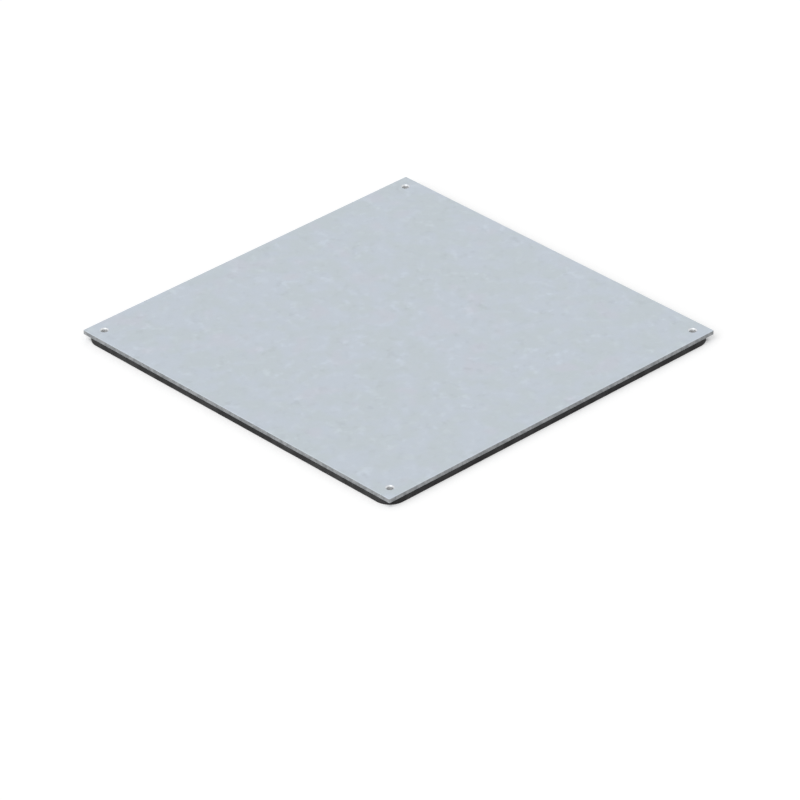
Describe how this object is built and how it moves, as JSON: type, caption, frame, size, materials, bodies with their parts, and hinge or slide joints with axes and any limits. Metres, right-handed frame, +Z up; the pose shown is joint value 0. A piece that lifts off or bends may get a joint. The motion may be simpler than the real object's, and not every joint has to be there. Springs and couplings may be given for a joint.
{
  "type": "floor duct cover",
  "caption": "Square galvanised steel floor duct cover with countersunk corner screw holes, lying on an endless rubber gasket that seals it to the duct's frame.",
  "frame": {"origin": "middle of the cover, on the gasket's underside", "axes": "+Z up through the plate, +X and +Y along the plate's edges"},
  "size_m": [0.4, 0.4, 0.01],
  "materials": {
    "galvanised_steel": "hot-dip galvanised sheet, satin",
    "black_rubber": "matte"
  },
  "bodies": {
    "root": {"cover_plate": "galvanised_steel", "sealing_gasket": "black_rubber"}
  },
  "joints": []
}
